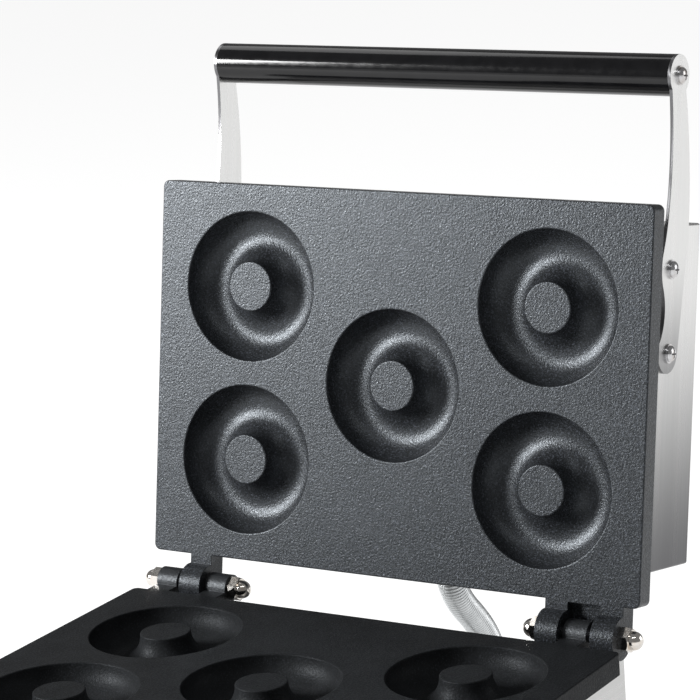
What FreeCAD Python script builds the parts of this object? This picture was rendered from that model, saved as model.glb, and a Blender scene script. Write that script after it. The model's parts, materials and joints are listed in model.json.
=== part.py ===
import FreeCAD, Part
import Sketcher
import math
import os
import re

from FreeCAD import Placement, Rotation, Vector

os.makedirs("parts", exist_ok=True)
doc = FreeCAD.newDocument("donut_maker")

# ---------------------------------------------------------------- driving dimensions
# Local frame of both castings: origin on the hinge axis, X along it, the plate towards -Y
# and its baking face up.  The lid uses the same casting, turned over and leant back.
DIMENSIONS = [
    ("plate_width", 333.2, "baking plate along the hinge"),
    ("plate_depth", 228.0, "baking plate across the hinge"),
    ("plate_thick", 12.6, "edge of the baking plate"),
    ("plate_corner", 4.0, "plan corner radius"),
    ("edge_round", 0.8, "rounding of cast edges"),
    ("face_drop", 0.4, "baking face below the hinge axis"),
    ("hinge_reach", 17.9, "plate edge to hinge axis"),
    ("ring_outer", 45.0, "outer radius of a donut cavity"),
    ("ring_inner", 15.0, "radius of a centre post"),
    ("ring_depth", 16.0, "depth of a donut cavity"),
    ("cavity_x", 101.3, "outer cavities from the middle, along the hinge"),
    ("cavity_y", 52.5, "outer cavities from the middle, across the hinge"),
    ("boss_wall", 3.6, "metal under a cavity"),
    ("boss_top", 44.4, "radius of a cavity's boss where it meets the plate"),
    ("boss_floor", 41.0, "radius of a boss at its floor"),
    ("boss_room", 0.6, "room round the bosses in the housings"),
    ("lug_x", 131.7, "hinge centres from the middle"),
    ("lug_span", 50.0, "width over the two outer knuckles"),
    ("knuckle_gap", 21.0, "room between the two outer knuckles"),
    ("knuckle_width", 15.0, "width of the single knuckle"),
    ("base_knuckle", 8.2, "radius of the base's knuckles"),
    ("lid_knuckle", 12.4, "radius of the lid's knuckles"),
    ("knuckle_room", 0.8, "room round a single knuckle"),
    ("recess_depth", 6.5, "recess in the double lug"),
    ("heel_length", 10.0, "stop heel behind the single knuckle"),
    ("bolt_radius", 4.0, "M8 hinge stud"),
    ("hinge_play", 0.08, "radial clearance of the hinge bores"),
    ("plate_screw_inset", 7.0, "plate screws inside the housings' sides"),
    ("plate_screw_y", 88.0, "plate screws from the plate's middle, across the hinge"),
    ("side_shift", 0.7, "half the sideways play taken up between lid and base"),
    ("lean_back", 10.8, "open lid past upright, degrees"),
    ("nut_flats", 13.0, "cap nut across flats"),
    ("nut_skirt", 6.5, "cap nut's hexagon"),
    ("nut_dome", 5.5, "cap nut's dome"),
    ("sheet", 1.0, "stainless sheet"),
    ("cover_inset", 12.6, "housings inside the plate's sides and front"),
    ("cover_rear", 32.8, "lid cover's hinge side from the axis"),
    ("cover_depth", 75.0, "lid cover behind the plate"),
    ("flange", 12.0, "inward flanges of the housings"),
    ("body_height", 100.0, "base housing"),
    ("body_rear", 10.0, "base housing behind the axis"),
    ("foot_height", 21.0, "rubber feet"),
    ("foot_radius", 14.0, "rubber feet"),
    ("foot_inset", 24.0, "feet from the housing's sides"),
    ("hinge_y", 62.0, "hinge axis behind the frame's origin"),
    ("arm_thick", 2.0, "handle arm"),
    ("grip_radius", 12.2, "handle tube"),
    ("grip_bore", 8.5, "bore of the handle tube"),
    ("grip_reach", 318.4, "handle axis from the hinge axis"),
    ("grip_back", 48.3, "handle axis behind the hinge axis plane"),
    ("arm_mid", 207.7, "upper arm screw from the hinge axis"),
    ("arm_low", 159.3, "lower arm screw from the hinge axis"),
    ("arm_back", 47.0, "arm screws behind the hinge axis plane"),
    ("screw_radius", 2.5, "M5 screw"),
    ("head_radius", 4.75, "pan head"),
    ("head_height", 2.7, "pan head"),
    ("washer_radius", 5.6, "washer"),
    ("washer_thick", 1.0, "washer"),
    ("hose_x", 16.0, "conduit from the middle plane"),
    ("hose_radius", 9.0, "conduit outside"),
    ("hose_bore", 7.0, "conduit inside"),
    ("hose_lid_back", 50.0, "conduit in the lid behind the hinge axis plane"),
    ("hose_low", 96.0, "conduit in the base below the hinge axis"),
    ("fitting_length", 10.5, "conduit fittings outside the housings"),
    ("knob_x", 82.0, "knobs from the middle"),
    ("knob_radius", 19.0, "knob skirt"),
    ("knob_height", 17.0, "knob"),
    ("shaft_radius", 3.0, "control shafts"),
    ("control_drop", 62.0, "control axes below the hinge axis"),
    ("fascia_width", 264.0, "control panel"),
    ("fascia_height", 72.0, "control panel"),
    ("fascia_thick", 2.0, "control panel"),
    ("rocker_tilt", 9.0, "half the travel of the switch, degrees"),
    ("element_radius", 4.0, "heating element sheath"),
    ("element_bend", 22.0, "bend radius of the heating element"),
]

sheet = doc.addObject("Spreadsheet::Sheet", "dims")
for row, (alias, number, meaning) in enumerate(DIMENSIONS, start=1):
    sheet.set(f"A{row}", alias)
    sheet.set(f"B{row}", str(number))
    sheet.set(f"C{row}", meaning)
    sheet.setAlias(f"B{row}", alias)
doc.recompute()

ALIASES = {alias for alias, _, _ in DIMENSIONS}


def bound(text):
    """An expression with every alias pointing at its cell."""
    return re.sub(r"[a-z_]+", lambda m: "dims." + m.group() if m.group() in ALIASES else m.group(), str(text))


def cell(alias):
    """The number in one cell."""
    return float(sheet.get(alias))


HINGE_Z = "(plate_thick + face_drop + body_height + sheet + foot_height)"
hinge_height = sum(cell(a) for a in ("plate_thick", "face_drop", "body_height", "sheet", "foot_height"))
FRONT = "(-(hinge_reach + plate_depth - cover_inset))"
SIDE = "(plate_width / 2 - cover_inset)"
BACK = "(-(face_drop + plate_thick))"
BOTTOM = "(-(face_drop + plate_thick + body_height))"
MIDDLE = "(-(hinge_reach + plate_depth / 2))"
side = cell("plate_width") / 2 - cell("cover_inset")
front = -(cell("hinge_reach") + cell("plate_depth") - cell("cover_inset"))
back = -(cell("face_drop") + cell("plate_thick"))
bottom = back - cell("body_height")
middle = -(cell("hinge_reach") + cell("plate_depth") / 2)

# Where the two halves stand.
BASE = Placement(Vector(-cell("side_shift"), cell("hinge_y"), hinge_height), Rotation())
LID = Placement(
    Vector(cell("side_shift"), cell("hinge_y"), hinge_height),
    Rotation(Vector(1, 0, 0), 90 - cell("lean_back")).multiply(Rotation(Vector(0, 0, 1), 180)),
)
X_AXIS = Rotation(Vector(0, 1, 0), 90)
Y_AXIS = Rotation(Vector(1, 0, 0), -90)
Z_AXIS = Rotation()

made = []


# ---------------------------------------------------------------- small helpers
def put(thing, at, turn=Z_AXIS):
    """Place a primitive by three expressions."""
    thing.Placement = Placement(Vector(), turn)
    for axis, place in zip("xyz", at):
        thing.setExpression(f"Placement.Base.{axis}", bound(place))
    return thing


def box(size, at):
    """A box from its low corner."""
    thing = doc.addObject("Part::Box", "box")
    for name, value in zip(("Length", "Width", "Height"), size):
        thing.setExpression(name, bound(value))
    return put(thing, at)


def block(x, y, z):
    """A box from three (low, high) pairs of expressions."""
    size = [f"({high}) - ({low})" for low, high in (x, y, z)]
    return box(size, [low for low, high in (x, y, z)])


def rod(radius, length, at, turn=Z_AXIS):
    """A cylinder from the centre of its first end."""
    thing = doc.addObject("Part::Cylinder", "rod")
    thing.setExpression("Radius", bound(radius))
    thing.setExpression("Height", bound(length))
    return put(thing, at, turn)


def cone(radius_one, radius_two, length, at, turn=Z_AXIS):
    """A cone from the centre of its first end."""
    thing = doc.addObject("Part::Cone", "cone")
    thing.setExpression("Radius1", bound(radius_one))
    thing.setExpression("Radius2", bound(radius_two))
    thing.setExpression("Height", bound(length))
    return put(thing, at, turn)


def hexagon(flats, length, at, turn=Z_AXIS):
    """A hexagonal bar from the centre of its first end."""
    thing = doc.addObject("Part::Prism", "hexagon")
    thing.Polygon = 6
    thing.setExpression("Circumradius", bound(f"({flats}) / 2 / cos(30 deg)"))
    thing.setExpression("Height", bound(length))
    return put(thing, at, turn)


def torus(ring, tube, at, turn=Z_AXIS):
    """A ring."""
    thing = doc.addObject("Part::Torus", "ring")
    thing.setExpression("Radius1", bound(ring))
    thing.setExpression("Radius2", bound(tube))
    return put(thing, at, turn)


def ball(radius, at):
    """A sphere."""
    thing = doc.addObject("Part::Sphere", "ball")
    thing.setExpression("Radius", bound(radius))
    return put(thing, at)


def fuse(*pieces):
    """All the pieces as one solid."""
    if len(pieces) == 1:
        return pieces[0]
    thing = doc.addObject("Part::MultiFuse", "fuse")
    thing.Shapes = list(pieces)
    return thing


def cut(stock, *tools):
    """The stock less its tools."""
    thing = doc.addObject("Part::Cut", "cut")
    thing.Base = stock
    thing.Tool = fuse(*tools)
    return thing


def common(one, other):
    """What two solids share."""
    thing = doc.addObject("Part::Common", "common")
    thing.Base = one
    thing.Tool = other
    return thing


def rounded(stock, radius, wanted):
    """The stock with the wanted edges rounded."""
    doc.recompute()
    size = float(sheet.get(radius)) if isinstance(radius, str) else radius
    picked = [n for n, edge in enumerate(stock.Shape.Edges, start=1) if wanted(edge)]
    thing = doc.addObject("Part::Fillet", "rounded")
    thing.Base = stock
    thing.Edges = [(n, size, size) for n in picked]
    return thing


def keep(label, pose, *pieces):
    """A finished sub-part: one solid, or a group of equal solids, standing at its pose."""
    thing = pieces[0]
    if len(pieces) > 1 or thing.TypeId in ("Part::Box", "Part::Cylinder", "Part::Cone", "Part::Prism"):
        thing = doc.addObject("Part::Compound", label)
        thing.Links = list(pieces)
    thing.Label = label
    thing.Placement = pose
    made.append(thing)
    return thing


def keep_shape(label, pose, shape):
    """A finished sub-part from a computed shape."""
    thing = doc.addObject("Part::Feature", label)
    thing.Shape = shape
    thing.Label = label
    thing.Placement = pose.multiply(shape.Placement)
    made.append(thing)
    return thing


def origin_plane(body, role):
    """One of a body's own origin planes."""
    return next(f for f in body.Origin.OriginFeatures if f.Role == role)


def sketch_on(body, role, name):
    """An empty sketch on one of the body's origin planes."""
    sketch = body.newObject("Sketcher::SketchObject", name)
    sketch.AttachmentSupport = [(origin_plane(body, role), "")]
    sketch.MapMode = "FlatFace"
    return sketch


def turned(label, pose, outline):
    """A body of revolution about its own Z, from (radius, height) points."""
    body = doc.addObject("PartDesign::Body", label)
    sketch = sketch_on(body, "XZ_Plane", label + "_outline")
    corners = [Vector(r, z, 0) for r, z in outline]
    for start, end in zip(corners, corners[1:] + corners[:1]):
        sketch.addGeometry(Part.LineSegment(start, end), False)
    for n in range(len(corners)):
        sketch.addConstraint(Sketcher.Constraint("Coincident", n, 2, (n + 1) % len(corners), 1))
    spin = body.newObject("PartDesign::Revolution", label + "_turned")
    spin.Profile = sketch
    spin.ReferenceAxis = (sketch, ["V_Axis"])
    spin.Angle = 360.0
    body.Tip = spin
    body.Label = label
    body.Placement = pose
    return body


# ---------------------------------------------------------------- baking plate casting
CAVITIES = [(0, 0)] + [(sx, sy) for sx in (-1, 1) for sy in (-1, 1)]


def cavity_at(spot):
    """The centre of one cavity as expressions."""
    sx, sy = spot
    return f"{sx} * cavity_x", f"{MIDDLE} + {sy} * cavity_y"


def knuckle(radius, low, high):
    """A hinge knuckle between two places along the axis."""
    return rod(radius, f"({high}) - ({low})", (low, 0, 0), X_AXIS)


def lug_block(low, high, end):
    """The block that carries knuckles out from the plate's edge."""
    return block((low, high), ("-hinge_reach - 2", end), (BACK, "-face_drop"))


def double_lug(radius, mating):
    """Two outer knuckles on a block with a recess for the mating knuckle."""
    low, high = "-lug_x - lug_span / 2", "-lug_x + lug_span / 2"
    gap_low, gap_high = "-lug_x - knuckle_gap / 2", "-lug_x + knuckle_gap / 2"
    stock = fuse(lug_block(low, high, 0), knuckle(radius, low, gap_low), knuckle(radius, gap_high, high))
    recess = block((gap_low, gap_high), ("-hinge_reach + 0.6", 20), ("-face_drop - recess_depth", 20))
    room = rod(f"{mating} + knuckle_room", "knuckle_gap", (gap_low, 0, 0), X_AXIS)
    return cut(stock, recess, room)


def single_lug(radius):
    """One knuckle, with the heel that stops the other half at the end of its travel."""
    low, high = "lug_x - knuckle_width / 2", "lug_x + knuckle_width / 2"
    heel = block((low, high), (0, "heel_length"), (BACK, 0))
    slope = box(("knuckle_width + 2", 40, 40), ("lug_x - knuckle_width / 2 - 1", 0, -0.3))
    slope.Placement = Placement(slope.Placement.Base, Rotation(Vector(1, 0, 0), -cell("lean_back")))
    return fuse(lug_block(low, high, 0), cut(heel, slope), knuckle(radius, low, high))


def on_face(edge, radius):
    """True for a circle of this radius in the baking face."""
    curve = edge.Curve
    return (
        isinstance(curve, Part.Circle)
        and abs(curve.Radius - radius) < 0.01
        and abs(curve.Center.z + cell("face_drop")) < 0.01
        and abs(curve.Axis.z) > 0.99
    )


def casting(label, pose, radius, mating):
    """A non-stick baking plate with five donut cavities and both hinge lugs."""
    slab = block(
        ("-plate_width / 2", "plate_width / 2"),
        ("-hinge_reach - plate_depth", "-hinge_reach"),
        (BACK, "-face_drop"),
    )
    slab = rounded(slab, "plate_corner", lambda e: abs(e.Vertexes[0].Z - e.Vertexes[1].Z) > 1)
    slab = rounded(slab, "edge_round", lambda e: min(v.Z for v in e.Vertexes) > -cell("face_drop") - 0.01)
    stock = [slab, double_lug(radius, mating), single_lug(radius)]
    for spot in CAVITIES:
        x, y = cavity_at(spot)
        floor = "-(face_drop + ring_depth + boss_wall)"
        taper = "(ring_depth + boss_wall - plate_thick)"
        stock.append(cone("boss_floor", "boss_top", taper, (x, y, floor)))
    tools = []
    for spot in CAVITIES:
        x, y = cavity_at(spot)
        ring, tube = "(ring_outer + ring_inner) / 2", "(ring_outer - ring_inner) / 2"
        low = f"-face_drop - (ring_depth - {tube})"
        wall = cut(rod("ring_outer", 5, (x, y, low)), rod("ring_inner", 5, (x, y, low)))
        tools += [torus(ring, tube, (x, y, low)), wall]
        core_depth = "ring_depth + boss_wall - 6"
        core_low = "-(face_drop + ring_depth + boss_wall) - 0.01"
        tools.append(rod("ring_inner - 5", core_depth, (x, y, core_low)))
    for sx in (-1, 1):
        low = f"{sx} * lug_x - lug_span / 2 - 1"
        tools.append(rod("bolt_radius + hinge_play", "lug_span + 2", (low, 0, 0), X_AXIS))
    for x, y in PLATE_SCREWS:
        tools.append(rod(2.0, 8, (x, y, f"{BACK} - 0.01")))
    plate = cut(fuse(*stock), *tools)
    rims = (cell("ring_outer"), cell("ring_inner"))
    plate = rounded(plate, "edge_round", lambda e: any(on_face(e, r) for r in rims))
    return keep(label, pose, plate)


PLATE_SCREWS = [
    (f"{sx} * ({SIDE} - plate_screw_inset)", f"{MIDDLE} + {sy} * plate_screw_y")
    for sx in (-1, 1)
    for sy in (-1, 1)
]

casting("base_plate", BASE, "base_knuckle", "lid_knuckle")
casting("lid_plate", LID, "lid_knuckle", "base_knuckle")

# ---------------------------------------------------------------- hinge studs and cap nuts
# The stud through the lid's double lug stands with the lid's share of the sideways play.
STUDS = ["-lug_x", "lug_x + 2 * side_shift"]
studs = [rod("bolt_radius", "lug_span + 16", (f"{x} - lug_span / 2 - 8", 0, 0), X_AXIS) for x in STUDS]
keep("hinge_studs", BASE, *studs)


def cap_nut(at_x, way):
    """A domed cap nut on the end of a stud, pointing along +X or -X."""
    turn = Rotation(Vector(0, 1, 0), 90 * way)
    place = (at_x, 0, 0)
    skirt = hexagon("nut_flats", "nut_skirt", place, turn)
    bevel = cone("nut_flats / 2 + 6.6", "nut_flats / 2 - 0.2", "nut_skirt + 0.1", place, turn)
    neck = rod("nut_dome", "nut_skirt + 1", place, turn)
    dome = ball("nut_dome", (f"({at_x}) + {way} * (nut_skirt + 1)", 0, 0))
    bore = rod("bolt_radius + 0.02", "8.2", (f"({at_x}) - {way} * 0.1", 0, 0), turn)
    return cut(fuse(common(skirt, bevel), neck, dome), bore)


nuts = []
for x in STUDS:
    for way in (-1, 1):
        nuts.append(cap_nut(f"{x} + {way} * (lug_span / 2 + 0.05)", way))
keep("hinge_cap_nuts", BASE, *nuts)


# ---------------------------------------------------------------- screws
def pan_screw(at, turn, length, washer=True):
    """A cross-recess pan head screw: its seat is at 'at' and its shank points along -Z."""
    seat = cell("washer_thick") if washer else 0.0
    head, high = cell("head_radius"), cell("head_height")
    crest, rim = Vector(0, 0, seat + high), Vector(head, 0, seat + 0.9)
    arc = Part.Arc(rim, Vector(head * 0.74, 0, seat + high * 0.82), crest)
    corners = [crest, Vector(0, 0, seat), Vector(head, 0, seat), rim]
    edges = [Part.LineSegment(a, b).toShape() for a, b in zip(corners, corners[1:])]
    crown = Part.Face(Part.Wire(edges + [arc.toShape()])).revolve(Vector(), Vector(0, 0, 1), 360)
    slots = [Part.makeBox(5.2, 1.0, 2.0, Vector(-2.6, -0.5, seat + high - 1.5))]
    slots.append(slots[0].rotated(Vector(), Vector(0, 0, 1), 90))
    shank = Part.makeCylinder(cell("screw_radius"), length + seat + 0.2, Vector(0, 0, -length))
    screw = crown.cut(slots[0].fuse(slots[1])).fuse(shank)
    if washer:
        ring = Part.makeCylinder(cell("washer_radius"), seat)
        ring = ring.cut(Part.makeCylinder(cell("screw_radius") - 0.3, seat))
        screw = screw.fuse(ring)
    screw.Placement = Placement(Vector(*at), turn)
    return screw.removeSplitter()


def small_screw(at, turn, length=8.0, radius=1.5):
    """A plain pan head screw, M3 or M4."""
    head = Part.makeCylinder(radius * 1.9, radius * 1.1)
    head = head.makeFillet(radius * 0.5, [e for e in head.Edges if e.BoundBox.ZMin > radius])
    slot = Part.makeBox(radius * 2.4, 0.8, 1.0, Vector(-radius * 1.2, -0.4, radius * 1.1 - 0.7))
    screw = head.cut(slot).fuse(Part.makeCylinder(radius, length + 0.2, Vector(0, 0, -length)))
    screw.Placement = Placement(Vector(*at), turn)
    return screw


FACING_UP = Rotation(Vector(1, 0, 0), 180)
screw_x, screw_y = side - cell("plate_screw_inset"), cell("plate_screw_y")
screw_spots = [(sx * screw_x, middle + sy * screw_y) for sx in (-1, 1) for sy in (-1, 1)]
flange_low = back - cell("sheet")


# ---------------------------------------------------------------- lid housing
def plate_holes():
    """The holes of a housing's top flange: for the plate screws and round the bosses."""
    holes = [rod("screw_radius - 0.3", 6, (x, y, f"{BACK} - 3")) for x, y in PLATE_SCREWS]
    for spot in CAVITIES:
        x, y = cavity_at(spot)
        holes.append(rod("boss_top + boss_room", 10, (x, y, f"{BACK} - 9")))
    return holes


def open_box(depth, rear):
    """A sheet housing, open towards the plate but for a flange, from front to rear."""
    outer = block((f"-{SIDE}", SIDE), (FRONT, rear), (f"{BACK} - ({depth})", BACK))
    inner = block(
        (f"-{SIDE} + sheet", f"{SIDE} - sheet"),
        (f"{FRONT} + sheet", f"({rear}) - sheet"),
        (f"{BACK} - ({depth}) + sheet", f"{BACK} - sheet"),
    )
    mouth = block(
        (f"-{SIDE} + flange", f"{SIDE} - flange"),
        (f"{FRONT} + flange", f"{MIDDLE} + plate_depth / 2 - flange - 12"),
        (f"{BACK} - 5", f"{BACK} + 5"),
    )
    return outer, [inner, mouth] + plate_holes()


ARM_SCREWS = [(s * side, -cell(v), -cell("arm_back")) for s in (-1, 1) for v in ("arm_mid", "arm_low")]

outer, tools = open_box("cover_depth", "-cover_rear")
outer = rounded(outer, 1.6, lambda e: min(v.Z for v in e.Vertexes) < back - 5)
for s in (-1, 1):
    for v in ("arm_mid", "arm_low"):
        place = (f"{s} * {SIDE} - 4", f"-{v}", "-arm_back")
        tools.append(rod("screw_radius + 0.06", 8, place, X_AXIS))
tools.append(rod("hose_bore + 1.4", 8, ("-hose_x", "-cover_rear - 4", "-hose_lid_back"), Y_AXIS))
keep("lid_cover", LID, cut(outer, *tools))

keep(
    "lid_insulation",
    LID,
    block(
        (f"-{SIDE} + 3", f"{SIDE} - 14"),
        (f"{FRONT} + 3", "-cover_rear - 14"),
        (f"{BACK} - cover_depth + sheet", f"{BACK} - cover_depth + 24"),
    ),
)


def reflector(label, pose):
    """A folded heat shield behind the heating element."""
    tray = block(
        (f"-{SIDE} + 20", f"{SIDE} - 20"),
        (f"{FRONT} + 10", f"{MIDDLE} + plate_depth / 2 - 30"),
        (f"{BACK} - 20", f"{BACK} - 12"),
    )
    room = block(
        (f"-{SIDE} + 20.6", f"{SIDE} - 20.6"),
        (f"{FRONT} + 10.6", f"{MIDDLE} + plate_depth / 2 - 30.6"),
        (f"{BACK} - 19.4", f"{BACK} - 10"),
    )
    exits = []
    for y in ENDS:
        exits.append(block((f"{SIDE} - 30", SIDE), (f"{y} - 7", f"{y} + 7"), (f"{BACK} - 19", BACK)))
    return keep(label, pose, cut(tray, room, *exits))


ENDS = [f"{MIDDLE} - 3 * element_bend", f"{MIDDLE} + 3 * element_bend"]


def element(label, pose):
    """A tubular heater in four runs joined by half-turn bends, clamped under the cavities."""
    radius, bend = cell("element_radius"), cell("element_bend")
    z = -(cell("face_drop") + cell("ring_depth") + cell("boss_wall") + radius)
    far, near = 106.0, 118.0
    edges = []
    for run in range(4):
        y = middle + (2 * run - 3) * bend
        left = Vector(-far, y, z)
        right = Vector(near if run in (0, 3) else far, y, z)
        edges.append(Part.LineSegment(right, left) if run % 2 == 0 else Part.LineSegment(left, right))
        if run < 3:
            x = -far if run % 2 == 0 else far
            out = -bend if run % 2 == 0 else bend
            edges.append(Part.Arc(Vector(x, y, z), Vector(x + out, y + bend, z), Vector(x, y + 2 * bend, z)))
    path = Part.Wire([e.toShape() for e in edges])
    start = Part.Wire(Part.Circle(Vector(near, middle - 3 * bend, z), Vector(1, 0, 0), radius).toShape())
    tube = path.makePipeShell([start], True, False)
    pins = [
        Part.makeCylinder(radius * 0.45, 10, Vector(near, middle + s * 3 * bend, z), Vector(1, 0, 0))
        for s in (-1, 1)
    ]
    return keep_shape(label, pose, Part.Solid(tube).fuse(pins))


def element_clamps(label, pose):
    """Two straps that hold the heater against the plate's bosses."""
    floor = "face_drop + ring_depth + boss_wall"
    length, thick = (f"{MIDDLE} - 78", f"{MIDDLE} + 78"), (f"-({floor}) - 9.6", f"-({floor}) - 8")
    straps = []
    for sx in (-1, 1):
        low = f"{sx} * cavity_x / 2 - 7"
        straps.append(block((low, f"({low}) + 14"), length, thick))
    return keep(label, pose, *straps)


element("lid_heating_element", LID)
element_clamps("lid_element_clamps", LID)
reflector("lid_reflector", LID)

# A thermal cut-out on the lid's heat shield.
keep("lid_thermal_cutout", LID, rod(8, 9, ("-60", MIDDLE, f"{BACK} - 29.02")))


def plate_screws(label, pose, rise):
    """Four screws that hold a plate down on its housing's flange."""
    spots = [Vector(x, y, flange_low) for x, y in screw_spots]
    screws = [small_screw(spot, FACING_UP, length=rise, radius=1.9) for spot in spots]
    return keep_shape(label, pose, Part.makeCompound(screws))


plate_screws("lid_plate_screws", LID, 7.0)


# ---------------------------------------------------------------- handle
def arm(label, pose, inner_x):
    """One flat handle arm: a round eye, a narrow neck and a bowed strap with a bumped foot."""
    eye, eye_back = cell("grip_reach"), cell("grip_back")
    mid, low, hole_back = cell("arm_mid"), cell("arm_low"), cell("arm_back")
    r = cell("grip_radius")
    top, foot = 9.0, 11.6
    body = doc.addObject("PartDesign::Body", label)
    sketch = sketch_on(body, "YZ_Plane", label + "_outline")

    def point(reach, behind):
        return Vector(-reach, -behind, 0)

    half = math.degrees(math.asin(top / r))
    drop = r * math.cos(math.radians(half))
    neck_front, neck_rear = point(eye - drop, eye_back - top), point(eye - drop, eye_back + top)
    waist = (mid + low) / 2 + 1
    path = [
        (neck_rear, point(eye + r, eye_back), neck_front),
        (neck_front, point(eye - 40, eye_back - 5.2), point(234, eye_back - 7.9)),
        (point(234, eye_back - 7.9), point(mid + 15, hole_back - 9.2), point(mid + 9, hole_back - 11.2)),
        (point(mid + 9, hole_back - 11.2), point(mid, hole_back - 12.2), point(mid - 9, hole_back - 10.4)),
        (point(mid - 9, hole_back - 10.4), point(waist, hole_back - 6.4), point(low + 9, hole_back - 10.2)),
        (point(low + 9, hole_back - 10.2), point(low - foot, hole_back), point(low, hole_back + foot)),
        (point(low, hole_back + foot), None, point(226, hole_back + 20.6)),
        (point(226, hole_back + 20.6), point(268, hole_back + 18.6), neck_rear),
    ]
    for start, via, end in path:
        curve = Part.LineSegment(start, end) if via is None else Part.Arc(start, via, end)
        sketch.addGeometry(curve, False)
    for n in range(len(path)):
        follower = (n + 1) % len(path)
        this_end = nearest_end(sketch, n, path[n][2])
        next_start = nearest_end(sketch, follower, path[n][2])
        sketch.addConstraint(Sketcher.Constraint("Coincident", n, this_end, follower, next_start))
    for reach, behind in ((eye, eye_back), (mid, hole_back), (low, hole_back)):
        hole = Part.Circle(point(reach, behind), Vector(0, 0, 1), cell("screw_radius") + 0.1)
        sketch.addGeometry(hole, False)
    pad = body.newObject("PartDesign::Pad", label + "_strap")
    pad.Profile = sketch
    pad.setExpression("Length", bound("arm_thick"))
    body.Tip = pad
    body.Label = label
    body.Placement = pose.multiply(Placement(Vector(inner_x, 0, 0), Rotation()))
    made.append(body)


def nearest_end(sketch, index, point):
    """Which end of a sketch curve (1 or 2) lies at the point."""
    gaps = [(sketch.getPoint(index, end) - point).Length for end in (1, 2)]
    return 1 + gaps.index(min(gaps))


arm("left_handle_arm", LID, side)
arm("right_handle_arm", LID, -side - cell("arm_thick"))

tools = [rod("grip_bore", f"2 * {SIDE} - 24", (f"-{SIDE} + 12", "-grip_reach", "-grip_back"), X_AXIS)]
for x in (f"-{SIDE} - 1", f"{SIDE} - 13"):
    tools.append(rod("screw_radius", 14, (x, "-grip_reach", "-grip_back"), X_AXIS))
grip = rod("grip_radius", f"2 * {SIDE} - 0.2", (f"-{SIDE} + 0.1", "-grip_reach", "-grip_back"), X_AXIS)
grip = cut(grip, *tools)
keep("handle_grip", LID, grip)

arm_face = side + cell("arm_thick")


def facing(sign):
    """Turn a screw so that its head points along +X or -X."""
    return Rotation(Vector(0, 1, 0), 90 * sign)


arm_spots = [(s * arm_face, -cell(v), -cell("arm_back"), s) for s in (-1, 1) for v in ("arm_mid", "arm_low")]
shapes = [pan_screw((x, y, z), facing(s), 7.0) for x, y, z, s in arm_spots]
keep_shape("arm_screws", LID, Part.makeCompound(shapes))
end_spots = [(s * arm_face, -cell("grip_reach"), -cell("grip_back"), s) for s in (-1, 1)]
shapes = [pan_screw((x, y, z), facing(s), 11.0) for x, y, z, s in end_spots]
keep_shape("handle_end_screws", LID, Part.makeCompound(shapes))


def lock_nut(at, turn):
    """A hexagon nut inside the housing."""
    turns = [k * math.pi / 3 for k in range(7)]
    corners = [Vector(4.6 * math.cos(a), 4.6 * math.sin(a), 0) for a in turns]
    nut = Part.Face(Part.makePolygon(corners)).extrude(Vector(0, 0, 4))
    nut = nut.cut(Part.makeCylinder(cell("screw_radius") + 0.02, 4))
    nut.Placement = Placement(Vector(*at), turn)
    return nut


inner_face = side - cell("sheet")
shapes = [lock_nut((s * inner_face, y, z), facing(-s)) for x, y, z, s in arm_spots]
keep_shape("arm_nuts", LID, Part.makeCompound(shapes))


# ---------------------------------------------------------------- base housing
KNOBS = [("-knob_x", "thermostat"), ("knob_x", "timer")]
LAMPS = ["-22", "22"]
CONTROL_Z = "-control_drop"
COVER_SCREWS = [
    (f"{sx} * ({SIDE} - 7)", y) for sx in (-1, 1) for y in (f"{FRONT} + 60", MIDDLE, "-40")
]
PANEL_SCREWS = [
    (f"{sx} * (fascia_width / 2 - 6)", f"{CONTROL_Z} + {sz} * 30") for sx in (-1, 1) for sz in (-1, 1)
]
FEET = [
    (f"{sx} * ({SIDE} - foot_inset)", y)
    for sx in (-1, 1)
    for y in (f"{FRONT} + foot_inset", "body_rear - foot_inset")
]

outer = block((f"-{SIDE}", SIDE), (FRONT, "body_rear"), (BOTTOM, BACK))
outer = rounded(outer, 1.6, lambda e: abs(e.Vertexes[0].Z - e.Vertexes[-1].Z) > 5)
tools = [
    block(
        (f"-{SIDE} + sheet", f"{SIDE} - sheet"),
        (f"{FRONT} + sheet", "body_rear - sheet"),
        (f"{BOTTOM} + sheet", f"{BACK} - sheet"),
    ),
    block(
        (f"-{SIDE} + flange", f"{SIDE} - flange"),
        (f"{FRONT} + flange", "body_rear - flange"),
        (f"{BOTTOM} - 2", f"{BOTTOM} + 2"),
    ),
    block(
        (f"-{SIDE} + flange", f"{SIDE} - flange"),
        (f"{FRONT} + flange", f"{MIDDLE} + plate_depth / 2 - flange - 12"),
        (f"{BACK} - 5", f"{BACK} + 5"),
    ),
]
tools += plate_holes()
tools += [rod(1.55, 5, (x, y, f"{BOTTOM} - 2")) for x, y in COVER_SCREWS]
tools += [rod(1.55, 8, (x, f"{FRONT} - 4", z), Y_AXIS) for x, z in PANEL_SCREWS]
tools += [rod(5.2, 8, (x, f"{FRONT} - 4", CONTROL_Z), Y_AXIS) for x, _ in KNOBS]
tools += [rod(5.0, 8, (x, f"{FRONT} - 4", f"{CONTROL_Z} + 16"), Y_AXIS) for x in LAMPS]
tools.append(block((-10, 10), (f"{FRONT} - 4", f"{FRONT} + 4"), (f"{CONTROL_Z} - 21", f"{CONTROL_Z} + 5")))
tools.append(rod("hose_bore + 1.4", 8, ("hose_x", "body_rear - 4", "-hose_low"), Y_AXIS))
tools.append(rod(8.0, 8, ("-100", "body_rear - 4", "-hose_low"), Y_AXIS))
for s in (-1, 1):
    for n in range(8):
        y = f"{MIDDLE} + 30 - {n} * 9"
        across = (f"{s} * {SIDE} - 3", f"{s} * {SIDE} + 3")
        tools.append(block(across, (y, f"{y} + 3.6"), (f"{BOTTOM} + 22", f"{BOTTOM} + 60")))
keep("base_housing", BASE, cut(outer, *tools))

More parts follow.
